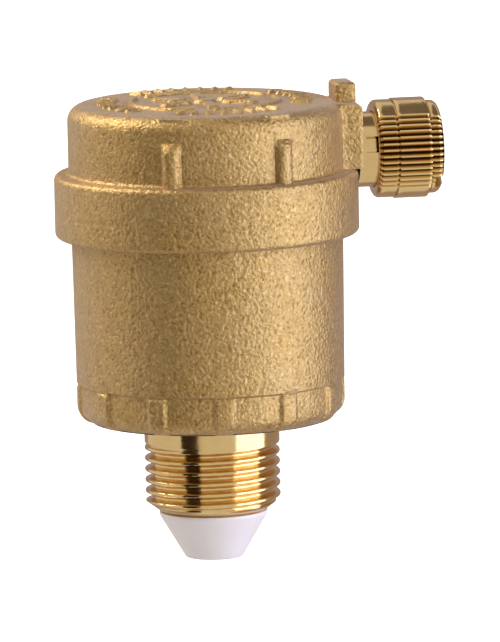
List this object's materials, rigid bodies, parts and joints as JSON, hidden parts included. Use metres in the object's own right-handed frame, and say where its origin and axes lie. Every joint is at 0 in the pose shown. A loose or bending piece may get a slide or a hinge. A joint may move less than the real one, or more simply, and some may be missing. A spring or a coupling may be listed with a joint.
{
  "type": "automatic air vent",
  "caption": "Brass float-operated automatic air vent for heating systems: threaded bottom inlet with a plastic cone, screwed cover with grip ribs, and a side outlet with a knurled screw cap.",
  "frame": {"origin": "on the vessel's axis, at the vessel's underside where the connection neck starts", "axes": "+Z along the vessel's axis, away from the connection; +X along the outlet's axis, out of the screw cap"},
  "size_m": [0.0476, 0.0374, 0.0584],
  "materials": {
    "cast_brass": "shot-blasted casting",
    "machined_brass": "turned",
    "stainless": "brushed",
    "seal_rubber": "matt",
    "white_plastic": "moulded, matt",
    "float_plastic": "moulded, matt",
    "gasket_fibre": "matt"
  },
  "bodies": {
    "root": {"lower_body": "cast_brass", "cover": "cast_brass", "cover_seal_ring": "seal_rubber", "inlet_cone": "white_plastic", "valve_seat": "machined_brass", "seat_seal_ring": "seal_rubber", "lever_bracket": "stainless", "bracket_screws": "stainless", "lock_washers": "stainless", "pivot_pin": "stainless", "pin_clips": "stainless"},
    "float": {"float_shell": "float_plastic", "float_lid": "float_plastic", "float_link": "stainless"},
    "lever": {"valve_lever": "stainless", "pad_holder": "machined_brass", "valve_pad": "seal_rubber", "lever_spring": "stainless"},
    "cap_travel": {"cap_gasket": "gasket_fibre"},
    "cap": {"vent_cap": "machined_brass"}
  },
  "joints": [
    {"name": "float_rise", "type": "slide", "parent": "root", "child": "float", "axis": [0, 0, 1], "range_m": [0, 0.003]},
    {"name": "lever_turn", "type": "hinge", "parent": "root", "child": "lever", "pos_m": [0.0104, 0, 0.02875], "axis": [0, 1, 0], "range_deg": [0, 16.1], "deforming": ["lever_spring"]},
    {"name": "cap_travel", "type": "slide", "parent": "root", "child": "cap_travel", "axis": [1, 0, 0], "range_m": [0, 0.0015]},
    {"name": "cap_turn", "type": "hinge", "parent": "cap_travel", "child": "cap", "pos_m": [0.0208, 0, 0.03255], "axis": [1, 0, 0], "range_deg": [0, 540]}
  ],
  "couplings": [
    {"joint": "lever_turn", "follows": "float_rise", "rad_per_m": 93.612},
    {"joint": "cap_travel", "follows": "cap_turn", "m_per_rad": 0.00015915}
  ]
}
